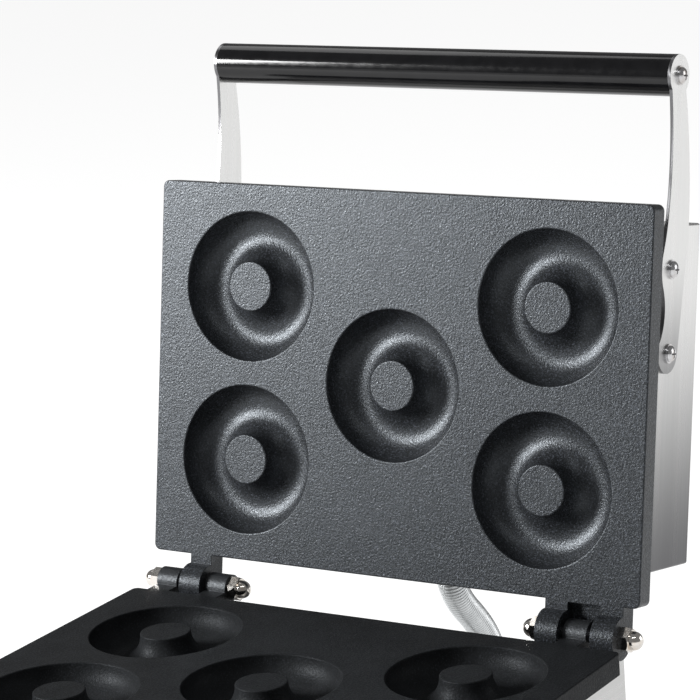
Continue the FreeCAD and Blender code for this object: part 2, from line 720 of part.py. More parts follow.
cover = block(
    (f"-{SIDE} + 1", f"{SIDE} - 1"), (f"{FRONT} + 1", "body_rear - 1"), (f"{BOTTOM} - sheet", BOTTOM)
)
vents = []
for n in range(8):
    y = f"{MIDDLE} - 40 + {n} * 12"
    for x in (-70, 0, 70):
        vents.append(block((f"{x} - 22", f"{x} + 22"), (y, f"{y} + 4"), (f"{BOTTOM} - 3", f"{BOTTOM} + 1")))
tools = [rod(1.55, 5, (x, y, f"{BOTTOM} - 3")) for x, y in COVER_SCREWS]
tools += [rod(2.06, 5, (x, y, f"{BOTTOM} - 3")) for x, y in FEET]
keep("bottom_cover", BASE, cut(cover, *vents, *tools))

foot_x = side - cell("foot_inset")
foot_y = (front + cell("foot_inset"), cell("body_rear") - cell("foot_inset"))
foot_top = bottom - cell("sheet")
feet_spots = [(sx * foot_x, y) for sx in (-1, 1) for y in foot_y]


def foot(x, y):
    """A tapered rubber foot with a recess for its screw."""
    high, radius = cell("foot_height"), cell("foot_radius")
    stock = Part.makeCone(radius - 2.5, radius, high)
    ends = [e for e in stock.Edges if isinstance(e.Curve, Part.Circle)]
    stock = stock.makeFillet(1.5, ends)
    stock = stock.cut(Part.makeCylinder(5.0, high - 6)).cut(Part.makeCylinder(2.1, high))
    stock.translate(Vector(x, y, foot_top - high))
    return stock


keep_shape("rubber_feet", BASE, Part.makeCompound([foot(x, y) for x, y in feet_spots]))
shapes = [small_screw((x, y, foot_top - 6), FACING_UP, length=10.0, radius=2.0) for x, y in feet_spots]
keep_shape("foot_screws", BASE, Part.makeCompound(shapes))
cover_spots = [(sx * (side - 7), y) for sx in (-1, 1) for y in (front + 60, middle, -40)]
shapes = [small_screw((x, y, foot_top), FACING_UP, length=6.0, radius=1.5) for x, y in cover_spots]
keep_shape("cover_screws", BASE, Part.makeCompound(shapes))

element("base_heating_element", BASE)
element_clamps("base_element_clamps", BASE)
reflector("base_reflector", BASE)
plate_screws("base_plate_screws", BASE, 7.0)

# ---------------------------------------------------------------- controls
PANEL_FACE = f"({FRONT} - fascia_thick)"
panel = block(
    ("-fascia_width / 2", "fascia_width / 2"),
    (PANEL_FACE, FRONT),
    (f"{CONTROL_Z} - fascia_height / 2", f"{CONTROL_Z} + fascia_height / 2"),
)
panel = rounded(panel, 4.0, lambda e: abs(e.Vertexes[0].Y - e.Vertexes[-1].Y) > 1)
tools = [rod(5.2, 8, (x, f"{FRONT} - 5", CONTROL_Z), Y_AXIS) for x, _ in KNOBS]
tools += [rod(1.55, 8, (x, f"{FRONT} - 5", z), Y_AXIS) for x, z in PANEL_SCREWS]
tools += [rod(5.0, 8, (x, f"{FRONT} - 5", f"{CONTROL_Z} + 16"), Y_AXIS) for x in LAMPS]
tools.append(block((-10, 10), (f"{FRONT} - 5", f"{FRONT} + 4"), (f"{CONTROL_Z} - 21", f"{CONTROL_Z} + 5")))
keep("control_panel", BASE, cut(panel, *tools))

panel_spots = [
    (sx * (cell("fascia_width") / 2 - 6), front - cell("fascia_thick"), -cell("control_drop") + sz * 30)
    for sx in (-1, 1)
    for sz in (-1, 1)
]
TO_FRONT = Rotation(Vector(1, 0, 0), 90)
shapes = [small_screw(spot, TO_FRONT, length=6.0, radius=1.5) for spot in panel_spots]
keep_shape("panel_screws", BASE, Part.makeCompound(shapes))

for x, name in KNOBS:
    case = block(
        (f"{x} - 18", f"{x} + 18"),
        (f"{FRONT} + sheet + 0.5", f"{FRONT} + 34"),
        (f"{CONTROL_Z} - 18", f"{CONTROL_Z} + 18"),
    )
    neck = rod(5.0, "fascia_thick + sheet + 3", (x, f"{PANEL_FACE} + 0", CONTROL_Z), Y_AXIS)
    bore = rod("shaft_radius + 0.06", 26, (x, f"{PANEL_FACE} - 1", CONTROL_Z), Y_AXIS)
    keep(name + "_body", BASE, cut(fuse(case, neck), bore))
    shaft = rod("shaft_radius", "fascia_thick + 32", (x, f"{PANEL_FACE} - 12", CONTROL_Z), Y_AXIS)
    keep(name + "_shaft", BASE, shaft)


def knob(label, pose, x):
    """A fluted control knob with a skirt and a pointer ridge."""
    r, high = cell("knob_radius"), cell("knob_height")
    shaft, deep = cell("shaft_radius") + 0.02, 13.0
    outline = [(shaft, 0), (r, 0), (r, 2.2), (r - 1.2, 3.6), (r - 3.4, 4.2), (r - 4.6, high - 1.2)]
    outline += [(r - 5.8, high), (0, high), (0, deep), (shaft, deep)]
    body = turned(label, Placement(), outline)
    doc.recompute()
    flute = sketch_on(body, "XY_Plane", label + "_flute")
    flute.addGeometry(Part.Circle(Vector(r - 2.6, 0, 0), Vector(0, 0, 1), 1.6), False)
    flute.AttachmentOffset = Placement(Vector(0, 0, 4.2), Rotation())
    groove = body.newObject("PartDesign::Pocket", label + "_groove")
    groove.Profile = flute
    groove.Length = high
    groove.Reversed = True
    pattern = body.newObject("PartDesign::PolarPattern", label + "_flutes")
    pattern.Originals = [groove]
    pattern.Axis = (origin_plane(body, "Z_Axis"), [""])
    pattern.Angle = 360.0
    pattern.Occurrences = 18
    body.Tip = pattern
    place = Vector(x, front - cell("fascia_thick") - 0.4, -cell("control_drop"))
    body.Placement = pose.multiply(Placement(place, TO_FRONT))
    made.append(body)


knob("thermostat_knob", BASE, -cell("knob_x"))
knob("timer_knob", BASE, cell("knob_x"))

lamps = []
for x in LAMPS:
    lens = rod(6.2, 2.0, (x, f"{PANEL_FACE} - 2", f"{CONTROL_Z} + 16"), Y_AXIS)
    lens = rounded(lens, 1.2, lambda e: isinstance(e.Curve, Part.Circle) and e.CenterOfMass.y < front - 3)
    stem = rod(4.9, 22, (x, f"{PANEL_FACE} - 0.5", f"{CONTROL_Z} + 16"), Y_AXIS)
    lamps.append(fuse(lens, stem))
lamp_names = ("power_lamp", "heating_lamp")
for name, lamp in zip(lamp_names, lamps):
    keep(name, BASE, lamp)

rocker_z = -cell("control_drop") - 8
frame = block((-12, 12), (f"{PANEL_FACE} - 1.6", PANEL_FACE), (f"{CONTROL_Z} - 23", f"{CONTROL_Z} + 7"))
frame = rounded(frame, 1.2, lambda e: max(v.Y for v in e.Vertexes) < front - cell("fascia_thick") - 1)
shell = block((-9.8, 9.8), (PANEL_FACE, f"{FRONT} + 22"), (f"{CONTROL_Z} - 20.8", f"{CONTROL_Z} + 4.8"))
room = block(
    (-7.6, 7.6), (f"{PANEL_FACE} - 5", f"{FRONT} + 12"), (f"{CONTROL_Z} - 18.6", f"{CONTROL_Z} + 2.6")
)
keep("switch_frame", BASE, cut(fuse(frame, shell), room))


def rocker():
    """A curved two-position key that turns about the middle of the switch frame."""
    wide, radius, high = 14.4, 30.0, 10.0
    dished = Part.makeBox(wide, 10.5, 2 * high - 0.6, Vector(-wide / 2, -3.0, -high + 0.3))
    hollow = Part.makeCylinder(radius, wide, Vector(-wide / 2, -radius - 2.0, 0), Vector(1, 0, 0))
    key = dished.cut(hollow)
    key = key.common(Part.makeCylinder(11.2, wide, Vector(-wide / 2, 0, 0), Vector(1, 0, 0)))
    key.rotate(Vector(), Vector(1, 0, 0), cell("rocker_tilt"))
    return key


rocker_pivot = Vector(0, front + 1.0, rocker_z)
key = rocker()
key.translate(rocker_pivot)
keep_shape("switch_rocker", BASE, key)

# ---------------------------------------------------------------- wiring hardware
keep("terminal_block", BASE, block((-105, -55), (-40, -22), (f"{BOTTOM} + sheet", f"{BOTTOM} + 22")))

gland_at = ("-100", "body_rear", "-hose_low")
gland = cut(
    fuse(
        hexagon(20, 7, gland_at, Y_AXIS),
        cone(8.6, 6.4, 9, ("-100", "body_rear + 6.9", "-hose_low"), Y_AXIS),
        rod(7.9, 12, ("-100", "body_rear - 11", "-hose_low"), Y_AXIS),
    ),
    rod(3.6, 60, ("-100", "body_rear - 20", "-hose_low"), Y_AXIS),
)
keep("cable_gland", BASE, gland)


def fitting(label, pose, x, y, z):
    """A conduit connector: a hexagon, a knurled collar and a threaded tail through the wall."""
    length = "fitting_length"
    body = fuse(
        hexagon(24, 5, (x, y, z), Y_AXIS),
        rod("hose_radius + 0.9", f"{length} - 4.9", (x, f"({y}) + 4.9", z), Y_AXIS),
        rod("hose_bore + 1.3", 10, (x, f"({y}) - 9.5", z), Y_AXIS),
    )
    bore = rod("hose_bore - 0.6", 60, (x, f"({y}) - 20", z), Y_AXIS)
    keep(label, pose, cut(body, bore))
    collar = hexagon(24, 3.5, (x, f"({y}) - sheet - 3.6", z), Y_AXIS)
    nut = cut(collar, rod("hose_bore + 1.32", 9, (x, f"({y}) - 8", z), Y_AXIS))
    keep(label.replace("fitting", "lock_nut"), pose, nut)


fitting("lid_conduit_fitting", LID, "-hose_x", "-cover_rear", "-hose_lid_back")
fitting("base_conduit_fitting", BASE, "hose_x", "body_rear", "-hose_low")

lean = math.radians(cell("lean_back"))
reach, behind = cell("cover_rear") - cell("fitting_length"), cell("hose_lid_back")


def lid_point(v, n):
    """A point of the open lid: v up the lid from the axis, n behind its face, as (y, z)."""
    return (v * math.sin(lean) + n * math.cos(lean), v * math.cos(lean) - n * math.sin(lean))


CONDUIT_ROUTE = [
    lid_point(reach, behind),
    lid_point(reach - 16.0, behind),
    (92.0, -43.0),
    (99.0, -70.0),
    (80.0, -91.0),
    (51.0, -cell("hose_low")),
    (cell("body_rear") + cell("fitting_length"), -cell("hose_low")),
]


def conduit():
    """The flexible conduit: straight runs joined by tangent arcs, and its bore."""
    points = [Vector(cell("hose_x"), y, z) for y, z in CONDUIT_ROUTE]
    edges = []
    last = points[0]
    for before, corner, after in zip(points, points[1:], points[2:]):
        one, two = before - corner, after - corner
        turn = math.pi - one.getAngle(two)
        radius = 0.45 * min(one.Length, two.Length) / math.tan(turn / 2)
        step = radius * math.tan(turn / 2)
        one.normalize()
        two.normalize()
        start, end = corner + one * step, corner + two * step
        inward = (one + two).normalize()
        centre = corner + inward * (radius / math.cos(turn / 2))
        middle_point = centre - inward * radius
        print("conduit arc radius", round(radius, 1))
        edges.append(Part.LineSegment(last, start).toShape())
        edges.append(Part.Arc(start, middle_point, end).toShape())
        last = end
    edges.append(Part.LineSegment(last, points[-1]).toShape())
    path = Part.Wire(edges)
    aim = points[1] - points[0]
    tubes = []
    for radius in (cell("hose_radius"), cell("hose_bore")):
        ring = Part.Wire(Part.Circle(points[0], aim, radius).toShape())
        tubes.append(Part.Solid(path.makePipeShell([ring], True, False)))
        print("conduit volume ratio", round(tubes[-1].Volume / (math.pi * radius**2 * path.Length), 4))
    print("conduit length", round(path.Length, 1))
    return tubes[0].cut(tubes[1])


keep_shape("conduit", Placement(Vector(0, cell("hinge_y"), hinge_height), Rotation()), conduit())


# ---------------------------------------------------------------- check and write
def check(things):
    """Stop on any failed object or bad solid."""
    doc.recompute()
    for thing in doc.Objects:
        if "Invalid" in thing.State or "Error" in thing.State:
            raise RuntimeError(f"{thing.Label} failed: {thing.State}")
    for thing in things:
        if thing.Shape.isNull() or not thing.Shape.isValid() or thing.Shape.Volume <= 0:
            raise RuntimeError(f"{thing.Label} has no valid shape")


check(made)
whole = FreeCAD.BoundBox()
for thing in made:
    thing.Shape.exportStep(f"parts/{thing.Label}.step")
    whole.add(thing.Shape.BoundBox)
    print(thing.Label, len(thing.Shape.Solids), round(thing.Shape.Volume))
print("nodes", len(made))
print("box", [round(v, 2) for v in (whole.XMin, whole.XMax, whole.YMin, whole.YMax, whole.ZMin, whole.ZMax)])
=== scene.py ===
import json
import math

import bmesh
import bpy
from mathutils import Matrix, Vector


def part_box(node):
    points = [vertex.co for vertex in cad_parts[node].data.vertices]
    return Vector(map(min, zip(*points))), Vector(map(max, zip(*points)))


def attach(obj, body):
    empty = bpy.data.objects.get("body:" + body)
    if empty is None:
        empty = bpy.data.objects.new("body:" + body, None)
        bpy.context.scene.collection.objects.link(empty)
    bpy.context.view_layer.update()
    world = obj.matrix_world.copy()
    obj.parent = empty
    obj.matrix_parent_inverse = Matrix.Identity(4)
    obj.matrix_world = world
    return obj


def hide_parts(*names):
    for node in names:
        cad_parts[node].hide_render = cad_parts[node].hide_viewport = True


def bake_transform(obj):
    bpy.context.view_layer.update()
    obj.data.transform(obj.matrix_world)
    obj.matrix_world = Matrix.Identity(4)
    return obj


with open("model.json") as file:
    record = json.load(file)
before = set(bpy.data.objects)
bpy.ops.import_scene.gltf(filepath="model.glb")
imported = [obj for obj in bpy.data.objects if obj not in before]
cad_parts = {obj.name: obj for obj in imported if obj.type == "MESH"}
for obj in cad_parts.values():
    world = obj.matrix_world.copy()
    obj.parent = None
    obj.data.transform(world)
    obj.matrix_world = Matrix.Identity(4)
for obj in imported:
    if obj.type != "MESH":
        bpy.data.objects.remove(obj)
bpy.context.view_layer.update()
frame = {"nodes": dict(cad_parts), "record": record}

# ---------------------------------------------------------------- places taken from the frame
LID_HINGE = next(j for j in frame["record"]["behaviour"]["joints"] if j["name"] == "lid_hinge")
HINGE = Vector(LID_HINGE["pos_m"])
MM = 0.001
LEAN = math.radians(LID_HINGE["range_deg"][1] - 90)
UP_LID = Vector((0, math.sin(LEAN), math.cos(LEAN)))
OUT_LID = Vector((0, -math.cos(LEAN), math.sin(LEAN)))


def middle(node):
    """The centre of a CAD node's box."""
    low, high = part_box(node)
    return (low + high) / 2


# ---------------------------------------------------------------- camera, fitted to the photograph
camera_data = bpy.data.cameras.new("camera")
camera_data.lens = 161.9
camera_data.clip_end = 50
camera = bpy.data.objects.new("camera", camera_data)
camera.location = (0.9390, -1.4352, 0.7365)
camera.rotation_euler = [math.radians(a) for a in (75.885, 3.934, 31.394)]
bpy.context.collection.objects.link(camera)
bpy.context.scene.camera = camera
bpy.context.scene.view_settings.view_transform = "Standard"


# ---------------------------------------------------------------- material helpers
class Paint:
    """A Principled material and its nodes."""

    def __init__(self, name, colour, rough, metal=0.0, **sockets):
        self.material = bpy.data.materials.new(name)
        self.material.use_nodes = True
        self.tree = self.material.node_tree
        self.shader = self.tree.nodes["Principled BSDF"]
        self.set("Base Color", (*colour, 1.0))
        self.set("Roughness", rough)
        self.set("Metallic", metal)
        for key, value in sockets.items():
            self.set(key.replace("_", " "), value)
        self.place = self.node("ShaderNodeTexCoord").outputs["Object"]

    def set(self, socket, value):
        """Set one of the shader's own sockets."""
        self.shader.inputs[socket].default_value = value

    def node(self, kind, **values):
        """A new node with some of its properties set."""
        made = self.tree.nodes.new(kind)
        for key, value in values.items():
            setattr(made, key, value)
        return made

    def link(self, one, other):
        self.tree.links.new(one, other)

    def stretched(self, scale, turn=(0, 0, 0)):
        """Object coordinates, scaled along turned axes."""
        mapping = self.node("ShaderNodeMapping", vector_type="TEXTURE")
        mapping.inputs["Rotation"].default_value = turn
        mapping.inputs["Scale"].default_value = [1 / s for s in scale]
        self.link(self.place, mapping.inputs["Vector"])
        return mapping.outputs["Vector"]

    def noise(self, scale, detail=3.0, rough=0.55, vector=None):
        """Noise in object coordinates, or along the vector given."""
        made = self.node("ShaderNodeTexNoise")
        made.inputs["Scale"].default_value = scale
        made.inputs["Detail"].default_value = detail
        made.inputs["Roughness"].default_value = rough
        self.link(vector or self.place, made.inputs["Vector"])
        return made.outputs["Fac"]

    def cells(self, scale):
        """Distance from the middles of small irregular cells."""
        made = self.node("ShaderNodeTexVoronoi")
        made.inputs["Scale"].default_value = scale
        self.link(self.place, made.inputs["Vector"])
        return made.outputs["Distance"]

    def span(self, value, low, high, to_low=0.0, to_high=1.0, soft=True):
        """The value from low to high, as to_low to to_high."""
        made = self.node("ShaderNodeMapRange")
        if soft:
            made.interpolation_type = "SMOOTHSTEP"
        limits = {"From Min": low, "From Max": high, "To Min": to_low, "To Max": to_high}
        for key, number in limits.items():
            made.inputs[key].default_value = number
        self.link(value, made.inputs["Value"])
        return made.outputs["Result"]

    def blend_colours(self, factor, one, other):
        """From one colour at 0 to the other at 1; either may be a tuple or a socket."""
        made = self.node("ShaderNodeMix", data_type="RGBA")
        self.link(factor, made.inputs["Factor"])
        for socket, colour in (("A", one), ("B", other)):
            target = [s for s in made.inputs if s.name == socket and s.type == "RGBA"][0]
            if isinstance(colour, tuple):
                target.default_value = (*colour, 1.0)
            else:
                self.link(colour, target)
        return [s for s in made.outputs if s.type == "RGBA"][0]

    def colour(self, source):
        self.link(source, self.shader.inputs["Base Color"])

    def roughness(self, source):
        self.link(source, self.shader.inputs["Roughness"])

    def bump(self, height, strength, distance, under=None):
        """Bump with a distance in metres, over the normal under it if there is one."""
        made = self.node("ShaderNodeBump")
        made.inputs["Strength"].default_value = strength
        made.inputs["Distance"].default_value = distance
        self.link(height, made.inputs["Height"])
        if under:
            self.link(under, made.inputs["Normal"])
        self.link(made.outputs["Normal"], self.shader.inputs["Normal"])
        return made.outputs["Normal"]


# the coat's gloss changes between these distances above or in front of the hinge axis
GLOSS_NEAR, GLOSS_FAR = 10 * MM, 19 * MM
EDGE_SOFTENING = 0.6 * MM


def nonstick(name, rough, shine, hinge_shine, fleck, tint):
    """Dark slate non-stick coat: speckle, softened edges and a gloss of its own at the hinge."""
    p = Paint(name, (0.02, 0.022, 0.027), rough, IOR=1.47)
    p.set("Specular Tint", (*tint, 1.0))
    flakes = p.span(p.noise(1050, 2.0, 0.8), 0.5, 0.72)
    cloud = p.span(p.noise(45, 3.0), 0.3, 0.7)
    deep = tuple(c * 0.011 for c in tint)
    skin = p.blend_colours(cloud, deep, tuple(c * 1.5 for c in deep))
    p.colour(p.blend_colours(flakes, skin, fleck))
    p.roughness(p.span(p.noise(900, 2.0), 0.3, 0.7, rough - 0.08, rough + 0.08))
    place = p.node("ShaderNodeSeparateXYZ")
    p.link(p.place, place.inputs["Vector"])
    height = p.span(place.outputs["Z"], HINGE.z + GLOSS_NEAR, HINGE.z + GLOSS_FAR)
    front = p.span(place.outputs["Y"], HINGE.y - GLOSS_FAR, HINGE.y - GLOSS_NEAR, 1.0, 0.0)
    away = p.node("ShaderNodeMath", operation="MAXIMUM")
    p.link(height, away.inputs[0])
    p.link(front, away.inputs[1])
    level = p.span(away.outputs["Value"], 0.0, 1.0, hinge_shine, shine, False)
    p.link(level, p.shader.inputs["Specular IOR Level"])
    edge = p.node("ShaderNodeBevel", samples=4)
    edge.inputs["Radius"].default_value = EDGE_SOFTENING
    first = p.bump(p.noise(800, 2.0, 0.7), 0.5, 0.0005, edge.outputs["Normal"])
    p.bump(p.noise(1900, 2.0), 0.2, 0.0002, first)
    return p.material


# noise scales across and along a brushed scratch
ACROSS, ALONG = 2200, 12


def brushed(name, tone, rough, turn, grain=(ACROSS, ACROSS, ALONG), painted_shade=None, contrast=0.93):
    """Brushed stainless: fine scratches along one axis, turned on faces that look along it.

    The painted shade is (low, high, tint): its shade tint shows below the low height and is gone
    at the high one.
    """
    p = Paint(name, (tone, tone, tone * 0.99), rough, 1.0, Anisotropic=0.4)
    along = p.stretched(grain, turn)
    facing = p.node("ShaderNodeVectorMath", operation="DOT_PRODUCT")
    p.link(p.node("ShaderNodeTexCoord").outputs["Normal"], facing.inputs[0])
    facing.inputs[1].default_value = (0, -math.sin(turn[0]), math.cos(turn[0]))
    size = p.node("ShaderNodeMath", operation="ABSOLUTE")
    p.link(facing.outputs["Value"], size.inputs[0])
    pick = p.node("ShaderNodeMix", data_type="VECTOR")
    p.link(p.span(size.outputs["Value"], 0.6, 0.7), pick.inputs["Factor"])
    sides = {s.name: s for s in pick.inputs if s.type == "VECTOR"}
    p.link(along, sides["A"])
    p.link(p.stretched((ALONG, ACROSS, ACROSS), turn), sides["B"])
    grained = [s for s in pick.outputs if s.type == "VECTOR"][0]
    scratch = p.noise(1.0, 4.0, 0.65, grained)
    broad = p.noise(0.11, 2.0, 0.5, grained)
    light = (tone, tone, tone * 0.99)
    dark = tuple(c * contrast for c in light)
    grainy = p.blend_colours(p.span(scratch, 0.3, 0.7), dark, light)
    # painted shade: towards the bottom the grain blends into a darker grey tint that stands in for
    # shade
    if painted_shade:
        low, high, tint = painted_shade
        height = p.node("ShaderNodeSeparateXYZ")
        p.link(p.place, height.inputs["Vector"])
        share = p.span(height.outputs["Z"], low, high)
        shaded = p.blend_colours(p.span(scratch, 0.2, 0.8), tuple(c * 0.85 for c in tint), tint)
        grainy = p.blend_colours(share, shaded, grainy)
    p.colour(grainy)
    p.roughness(p.span(broad, 0.3, 0.7, rough - 0.04, rough + 0.06))
    p.bump(scratch, 0.06, 0.0001)
    return p


def strap(name, tone, rough, turn, painted_shade):
    """Brushed strap steel whose narrow sheared edges are duller than its broad faces."""
    # the painted shade is passed on to the brushed steel: darker towards the bottom
    p = brushed(name, tone, rough, turn, (1400, 1400, 8), painted_shade, 0.98)
    broad_faces = p.shader.inputs["Base Color"].links[0].from_socket
    parts = p.node("ShaderNodeSeparateXYZ")
    p.link(p.node("ShaderNodeNewGeometry").outputs["True Normal"], parts.inputs["Vector"])
    size = p.node("ShaderNodeMath", operation="ABSOLUTE")
    p.link(parts.outputs["X"], size.inputs[0])
    p.colour(p.blend_colours(size.outputs["Value"], (0.16, 0.16, 0.165), broad_faces))
    return p.material


def plated(name, colour, rough, specks=0.0):
    """Bright plating with faint polishing marks and tiny pits."""
    p = Paint(name, colour, rough, 1.0)
    marks = p.noise(700, 3.0)
    p.roughness(p.span(marks, 0.3, 0.7, rough * 0.7, rough * 1.6))
    warm = tuple(c * k for c, k in zip(colour, (0.92, 0.86, 0.8)))
    p.colour(p.blend_colours(p.span(p.noise(140, 2.0), 0.45, 0.75), colour, warm))
    p.bump(p.noise(1200, 2.0), 0.04 + specks, 0.0001)
    return p.material


def plastic(name, colour, rough, grain=1800, depth=0.15, shine=0.5):
    """Moulded plastic with a fine spark-eroded texture."""
    p = Paint(name, colour, rough, Specular_IOR_Level=shine)
    lighter = tuple(c * 1.25 + 0.001 for c in colour)
    p.colour(p.blend_colours(p.span(p.noise(90, 3.0), 0.35, 0.65), colour, lighter))
    p.roughness(p.span(p.noise(grain / 2, 2.0), 0.3, 0.7, rough * 0.85, rough * 1.2))
    p.bump(p.noise(grain, 2.0), depth, 0.00015)
    return p.material


def rubber():
    """Matt rubber, greyed by handling."""
    p = Paint("foot_rubber", (0.02, 0.02, 0.02), 0.75)
    worn = p.span(p.noise(160, 4.0), 0.45, 0.75)
    p.colour(p.blend_colours(worn, (0.018, 0.018, 0.018), (0.05, 0.05, 0.048)))
    p.bump(p.noise(1300, 2.0), 0.3, 0.0002)
    return p.material


def wool():
    """Pressed mineral wool: crossed fibres."""
    p = Paint("mineral_wool", (0.6, 0.53, 0.36), 0.95)
    fibres = p.noise(1.0, 5.0, 0.7, p.stretched((900, 60, 300)))
    p.colour(p.blend_colours(fibres, (0.42, 0.36, 0.22), (0.78, 0.72, 0.55)))
    p.bump(fibres, 0.8, 0.001)
    return p.material


def heater():
    """Heater sheath stained by heat: straw, blue and dull grey."""
    p = Paint("heater_sheath", (0.3, 0.28, 0.26), 0.45, 1.0)
    stain = p.noise(35, 3.0)
    straw = p.blend_colours(p.span(stain, 0.35, 0.6), (0.32, 0.30, 0.29), (0.45, 0.36, 0.22))
    p.colour(p.blend_colours(p.span(stain, 0.58, 0.72), straw, (0.2, 0.22, 0.32)))
    p.bump(p.noise(800, 3.0), 0.15, 0.0002)
    return p.material


def galvanised():
    """Zinc-coated sheet with its spangle."""
    p = Paint("galvanised_sheet", (0.62, 0.63, 0.65), 0.38, 1.0)
    spangle = p.cells(160)
    p.colour(p.blend_colours(spangle, (0.7, 0.71, 0.73), (0.5, 0.51, 0.54)))
    p.roughness(p.span(p.noise(400, 2.0), 0.3, 0.7, 0.3, 0.5))
    p.bump(p.noise(900, 2.0), 0.06, 0.0002)
    return p.material


def ceramic():
    """Unglazed white ceramic."""
    p = Paint("white_ceramic", (0.8, 0.78, 0.72), 0.55)
    cloud = p.span(p.noise(70, 4.0), 0.35, 0.7)
    p.colour(p.blend_colours(cloud, (0.8, 0.78, 0.72), (0.7, 0.67, 0.6)))
    p.bump(p.noise(1500, 3.0), 0.2, 0.0002)
    return p.material


def lens(name, colour):
    """A tinted lamp lens with a prismatic inside."""
    p = Paint(name, colour, 0.12, Transmission_Weight=0.35, IOR=1.49, Coat_Weight=0.6)
    ribs = p.cells(900)
    deep = tuple(c * 0.45 for c in colour)
    p.colour(p.blend_colours(p.span(ribs, 0.1, 0.8), colour, deep))
    p.bump(ribs, 0.12, 0.0002)
    return p.material


def conduit_steel():
    """Interlocked steel strip: bright, with a faint haze and fine rolling marks."""
    p = Paint("conduit_steel", (0.66, 0.68, 0.69), 0.3, 1.0)
    haze = p.span(p.noise(55, 2.0), 0.35, 0.65)
    p.colour(p.blend_colours(haze, (0.6, 0.62, 0.63), (0.7, 0.72, 0.73)))
    p.roughness(p.span(p.noise(240, 2.0), 0.3, 0.7, 0.26, 0.36))
    p.bump(p.noise(1500, 1.0), 0.03, 0.0001)
    return p.material


LID_TURN = (-LEAN, 0, 0)
# painted shade: the cover darkens to this grey below 0.33 m, standing in for the dark reflection
# low on its side
COVER_PAINTED_SHADE = (0.15, 0.33, (0.13, 0.13, 0.135))
LID_COAT = nonstick("nonstick_lid", 0.33, 0.45, 0.25, (0.07, 0.077, 0.092), (0.86, 0.93, 1.0))
HANDLE_BLACK = plastic("handle_gloss", (0.003, 0.003, 0.0035), 0.12, 500, 0.01, shine=0.36)
MATERIALS = {
    "nonstick_cast": LID_COAT,
    "brushed_stainless": brushed("cover_steel", 0.78, 0.3, LID_TURN, painted_shade=COVER_PAINTED_SHADE).material,
    "nickel_nut": plated("nickel_plate", (0.74, 0.71, 0.67), 0.1),
    "zinc_steel": plated("zinc_plate", (0.55, 0.56, 0.58), 0.28, 0.05),
    "element_sheath": heater(),
    "reflector_sheet": galvanised(),
    "mineral_wool": wool(),
    "ceramic_white": ceramic(),
    "handle_black": HANDLE_BLACK,
    "foot_rubber": rubber(),
    "fascia_black": plastic("fascia_satin", (0.018, 0.018, 0.02), 0.38, 1500, 0.08),
    "control_plastic": plastic("control_casing", (0.62, 0.6, 0.54), 0.5),
    "brass_shaft": plated("turned_brass", (0.7, 0.5, 0.2), 0.25, 0.05),
    "knob_black": plastic("knob_plastic", (0.016, 0.016, 0.017), 0.36),
    "lamp_green": lens("green_lens", (0.03, 0.5, 0.1)),
    "lamp_orange": lens("orange_lens", (0.85, 0.28, 0.02)),
    "switch_black": plastic("switch_plastic", (0.014, 0.014, 0.015), 0.22, 1500, 0.05),
    "switch_red": plastic("rocker_plastic", (0.42, 0.012, 0.01), 0.2, 1500, 0.04),
    "gland_black": plastic("gland_nylon", (0.02, 0.02, 0.021), 0.45),
    "conduit_steel": conduit_steel(),
}
# painted shade: the handle arms darken to this grey below 0.34 m, standing in for the shade low on
# them
ARM_PAINTED_SHADE = (0.25, 0.34, (0.22, 0.22, 0.225))
ARM_STEEL = strap("arm_steel", 0.74, 0.28, LID_TURN, ARM_PAINTED_SHADE)
SCREW_STEEL = plated("screw_steel", (0.6, 0.6, 0.61), 0.2)
BODY_STEEL = brushed("body_steel", 0.6, 0.3, (0, 0, 0), (10, 10, ACROSS)).material
# painted shade: the base plate gets a darker copy of the lid's coat, with darker flecks and less
# shine, standing in for the shade on it
BASE_COAT_PAINTED_SHADE = nonstick("nonstick_base", 0.44, 0.08, 0.5, (0.026, 0.028, 0.032), (0.88, 0.94, 1.0))
OVERRIDES = {
    "base_plate": BASE_COAT_PAINTED_SHADE,
    "arm_screws": SCREW_STEEL,
    "handle_end_screws": SCREW_STEEL,
    "left_handle_arm": ARM_STEEL,
    "right_handle_arm": ARM_STEEL,
    "base_housing": BODY_STEEL,
}

for part in frame["record"]["subparts"]:
    thing = frame["nodes"][part["node"]]
    thing.data.materials.clear()
    thing.data.materials.append(MATERIALS[part["material_slot"]])
for node, material in OVERRIDES.items():
    frame["nodes"][node].material_slots[0].material = material

# ---------------------------------------------------------------- mesh helpers
CORNERS = ((-1, -1), (1, -1), (1, 1), (-1, 1))  # of a rectangle, in order round it


def mesh_piece(name, build, body, slot, replaced=(), paint=None):
    """A new mesh piece, built by a function that fills a bmesh."""
    data = bpy.data.meshes.new(name)
    work = bmesh.new()
    build(work)
    bmesh.ops.recalc_face_normals(work, faces=work.faces)
    work.to_mesh(data)
    work.free()
    for face in data.polygons:
        face.use_smooth = True
    piece = bpy.data.objects.new(name, data)
    bpy.context.collection.objects.link(piece)
    data.materials.append(paint or MATERIALS[slot])
    if body:
        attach(piece, body)
    if replaced:
        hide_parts(*replaced)
    return piece


def loft(work, rings):
    """Skin a list of equal rings of points and close both ends."""
    loops = [[work.verts.new(p) for p in ring] for ring in rings]
    count = len(loops[0])
    for one, other in zip(loops, loops[1:]):
        for k in range(count):
            work.faces.new((one[k], one[(k + 1) % count], other[(k + 1) % count], other[k]))
    work.faces.new(list(reversed(loops[0])))
    work.faces.new(loops[-1])


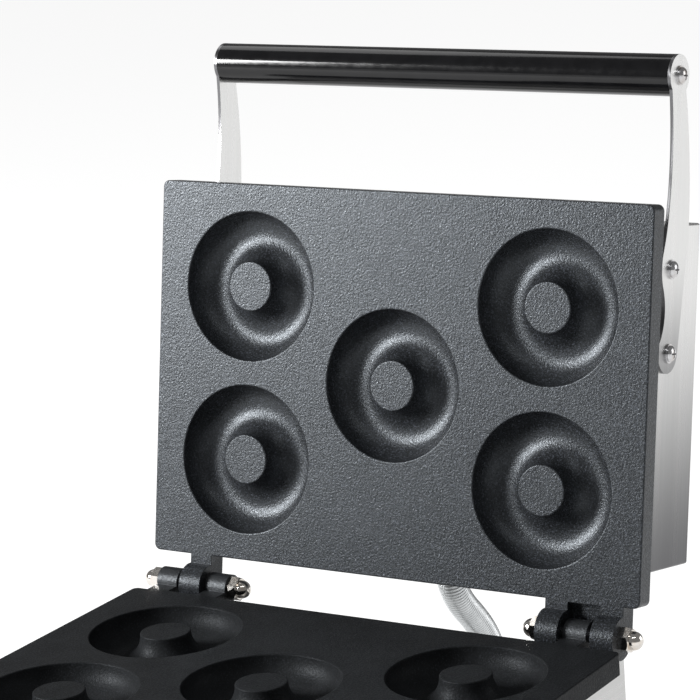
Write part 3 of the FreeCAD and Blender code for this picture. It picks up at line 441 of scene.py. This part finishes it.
# ---------------------------------------------------------------- flexible conduit
# FITTING_END, FIRST_RUN and HOSE_BACK are in millimetres; the ridges' radius is just under the CAD
# conduit's
HOSE_X = middle("conduit").x
FITTING_END = 22.3  # lid fitting's mouth, from the hinge axis up the lid
FIRST_RUN = 16.0  # from the mouth to the next control point, down the lid
HOSE_BACK = 50.0  # the mouth's distance behind the hinge axis, square to the lid
RIDGE_PITCH, RIDGE_RADIUS, VALLEY_RADIUS = 1.9 * MM, 8.95 * MM, 8.35 * MM
RINGS_PER_RIDGE = 6
RIDGE_ROUNDNESS = 0.7  # below 1 broadens the ridges and narrows the valleys
HOSE_SIDES = 40
ROUTE_FINENESS = 40


def lid_point(reach, behind):
    """A point of the hose on the open lid, from the hinge axis up the lid and behind it."""
    return HINGE + UP_LID * reach * MM - OUT_LID * behind * MM


def base_point(y, z):
    """A point of the hose from the hinge axis, along the frame's Y and Z."""
    return HINGE + Vector((0, y * MM, z * MM))


ROUTE = [
    lid_point(FITTING_END, HOSE_BACK),
    lid_point(FITTING_END - FIRST_RUN, HOSE_BACK),
    base_point(92.0, -43.0),
    base_point(99.0, -70.0),
    base_point(80.0, -91.0),
    base_point(51.0, -96.0),
    base_point(20.5, -96.0),
]


def route_points(route, step):
    """Points along the route's smooth spline at equal steps."""
    curve = bpy.data.curves.new("conduit_route", "CURVE")
    curve.dimensions = "3D"
    spline = curve.splines.new("NURBS")
    spline.points.add(len(route) - 1)
    for point, place in zip(spline.points, route):
        point.co = (HOSE_X, place.y, place.z, 1)
    spline.order_u = 3
    spline.use_endpoint_u = True
    spline.resolution_u = ROUTE_FINENESS
    holder = bpy.data.objects.new("conduit_route", curve)
    line = [v.co.copy() for v in bpy.data.meshes.new_from_object(holder).vertices]
    bpy.data.objects.remove(holder)
    lengths = [0.0]
    for one, other in zip(line, line[1:]):
        lengths.append(lengths[-1] + (other - one).length)
    count = int(lengths[-1] / step)
    points = []
    k = 0
    for n in range(count + 1):
        goal = lengths[-1] * n / count
        while k < len(line) - 2 and lengths[k + 1] < goal:
            k += 1
        share = (goal - lengths[k]) / (lengths[k + 1] - lengths[k])
        points.append(line[k].lerp(line[k + 1], share))
    return points


def build_conduit(work):
    """A corrugated tube: rounded ridges at an even pitch round the route."""
    points = route_points(ROUTE, RIDGE_PITCH / RINGS_PER_RIDGE)
    across = Vector((1, 0, 0))
    turns = [2 * math.pi * k / HOSE_SIDES for k in range(HOSE_SIDES)]
    rings = []
    for n, point in enumerate(points):
        before, after = points[max(0, n - 1)], points[min(len(points) - 1, n + 1)]
        along = (after - before).normalized()
        up = along.cross(across).normalized()
        wave = abs(math.sin(math.pi * n / RINGS_PER_RIDGE))
        radius = VALLEY_RADIUS + (RIDGE_RADIUS - VALLEY_RADIUS) * wave**RIDGE_ROUNDNESS
        rings.append([point + (across * math.cos(a) + up * math.sin(a)) * radius for a in turns])
    loft(work, rings)


hose = mesh_piece("flexible_conduit", build_conduit, None, "conduit_steel", ("conduit",))
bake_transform(hose)

# ---------------------------------------------------------------- printed marks on the controls
PANEL_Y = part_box("control_panel")[0].y
PRINT = plastic("print_white", (0.72, 0.72, 0.7), 0.5, 2600, 0.1)
HEAT_FIGURES = ["0", "75", "150", "225", "300"]
TIMER_FIGURES = ["0", "1", "2", "3", "4", "5"]
TICKS_PER_FIGURE = 4
TICKS_FROM_HUB, FIGURES_FROM_HUB = 21.4 * MM, 28.5 * MM
HALF_LONG_TICK, HALF_SHORT_TICK, HALF_TICK_WIDTH = 1.5 * MM, 0.8 * MM, 0.3 * MM
FIGURE_SIZE, FIGURE_DEPTH, BAR_DEPTH = 4.6 * MM, 0.1 * MM, 0.12 * MM
HALF_POINTER_WIDTH = 0.55 * MM
BAR_FACES = (
    (0, 1, 2, 3),
    (7, 6, 5, 4),
    (0, 4, 5, 1),
    (1, 5, 6, 2),
    (2, 6, 7, 3),
    (3, 7, 4, 0),
)


def add_bar(work, centre, along, half_long, half_wide, deep=BAR_DEPTH):
    """A thin bar lying in the plane of the panel."""
    across = Vector((along.z, 0, -along.x))
    corners = []
    for y in (-deep, deep):
        for one, two in CORNERS:
            spot = centre + along * half_long * one + across * half_wide * two + Vector((0, y, 0))
            corners.append(work.verts.new(spot))
    for loop in BAR_FACES:
        work.faces.new([corners[k] for k in loop])


def add_figure(work, text, centre, size):
    """A printed figure in the plane of the panel."""
    curve = bpy.data.curves.new("figure", "FONT")
    curve.body = text
    curve.size = size
    curve.extrude = FIGURE_DEPTH
    curve.align_x = "CENTER"
    curve.align_y = "CENTER"
    holder = bpy.data.objects.new("figure", curve)
    flat = bpy.data.meshes.new_from_object(holder)
    flat.transform(Matrix.Translation(centre) @ Matrix.Rotation(math.radians(90), 4, "X"))
    work.from_mesh(flat)
    bpy.data.objects.remove(holder)
    bpy.data.meshes.remove(flat)


def dial_scale(knob, sweep, labels):
    """Tick marks and figures round one knob, clockwise from its top."""
    hub = middle(knob)

    def build(work):
        steps = TICKS_PER_FIGURE * (len(labels) - 1)
        for n in range(steps + 1):
            angle = math.radians(sweep * n / steps)
            out = Vector((math.sin(angle), 0, math.cos(angle)))
            major = n % TICKS_PER_FIGURE == 0
            half_long = HALF_LONG_TICK if major else HALF_SHORT_TICK
            spot = hub + out * (TICKS_FROM_HUB + half_long)
            add_bar(work, Vector((spot.x, PANEL_Y, spot.z)), out, half_long, HALF_TICK_WIDTH)
            if major:
                spot = hub + out * FIGURES_FROM_HUB
                label = labels[n // TICKS_PER_FIGURE]
                add_figure(work, label, Vector((spot.x, PANEL_Y, spot.z)), FIGURE_SIZE)

    return build


HEAT_SCALE = dial_scale("thermostat_knob", 270, HEAT_FIGURES)
TIMER_SCALE = dial_scale("timer_knob", 300, TIMER_FIGURES)
mesh_piece("thermostat_scale", HEAT_SCALE, "base", "ceramic_white", paint=PRINT)
mesh_piece("timer_scale", TIMER_SCALE, "base", "ceramic_white", paint=PRINT)


def pointer(knob):
    """A printed line on a knob's cap and skirt."""
    low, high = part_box(knob)
    hub = (low + high) / 2
    up = Vector((0, 0, 1))
    on_cap = Vector((hub.x, low.y, hub.z + 8.6 * MM))
    on_skirt = Vector((hub.x, high.y - 3.9 * MM, hub.z + 16.4 * MM))

    def build(work):
        add_bar(work, on_cap, up, 4.0 * MM, HALF_POINTER_WIDTH, 0.03 * MM)
        add_bar(work, on_skirt, up, 1.2 * MM, HALF_POINTER_WIDTH, 0.3 * MM)

    return build


HEAT_POINTER = pointer("thermostat_knob")
TIMER_POINTER = pointer("timer_knob")
mesh_piece("thermostat_pointer", HEAT_POINTER, "thermostat_dial", "ceramic_white", paint=PRINT)
mesh_piece("timer_pointer", TIMER_POINTER, "timer_dial", "ceramic_white", paint=PRINT)

# ---------------------------------------------------------------- studio
HALF_FLOOR = 9
floor_corners = [(x * HALF_FLOOR, y * HALF_FLOOR, 0) for x, y in CORNERS]
floor_data = bpy.data.meshes.new("floor")
floor_data.from_pydata(floor_corners, [], [(0, 1, 2, 3)])
floor = bpy.data.objects.new("floor", floor_data)
bpy.context.collection.objects.link(floor)
floor_paint = Paint("floor_white", (0.3, 0.3, 0.3), 0.9)
floor_paint.set("Specular IOR Level", 0.0)
floor_paint.set("Emission Color", (1, 1, 1, 1))
floor_paint.set("Emission Strength", 0.86)
floor_data.materials.append(floor_paint.material)

world = bpy.data.worlds.new("studio")
world.use_nodes = True
background = world.node_tree.nodes["Background"]
background.inputs["Color"].default_value = (1, 1, 1, 1)
background.inputs["Strength"].default_value = 0.2
bpy.context.scene.world = world


def softbox(name, place, size, power, aim=(0, 0.06, 0.25)):
    """An area light aimed at a point."""
    data = bpy.data.lights.new(name, "AREA")
    data.shape = "RECTANGLE"
    data.size, data.size_y = size
    data.energy = power
    lamp = bpy.data.objects.new(name, data)
    lamp.location = place
    lamp.rotation_euler = (Vector(aim) - Vector(place)).to_track_quat("-Z", "Y").to_euler()
    bpy.context.collection.objects.link(lamp)


softbox("key", (-1.6, -1.35, 1.0), (0.7, 0.7), 88, (-0.05, 0.08, 0.33))
softbox("top", (-1.0, 0.7, 1.8), (0.8, 0.8), 3.5)
softbox("strip", (0.6, -0.9, 1.9), (1.6, 0.1), 5, (0, 0.1, 0.45))
softbox("right", (1.9, 1.4, 0.75), (1.2, 1.2), 9)
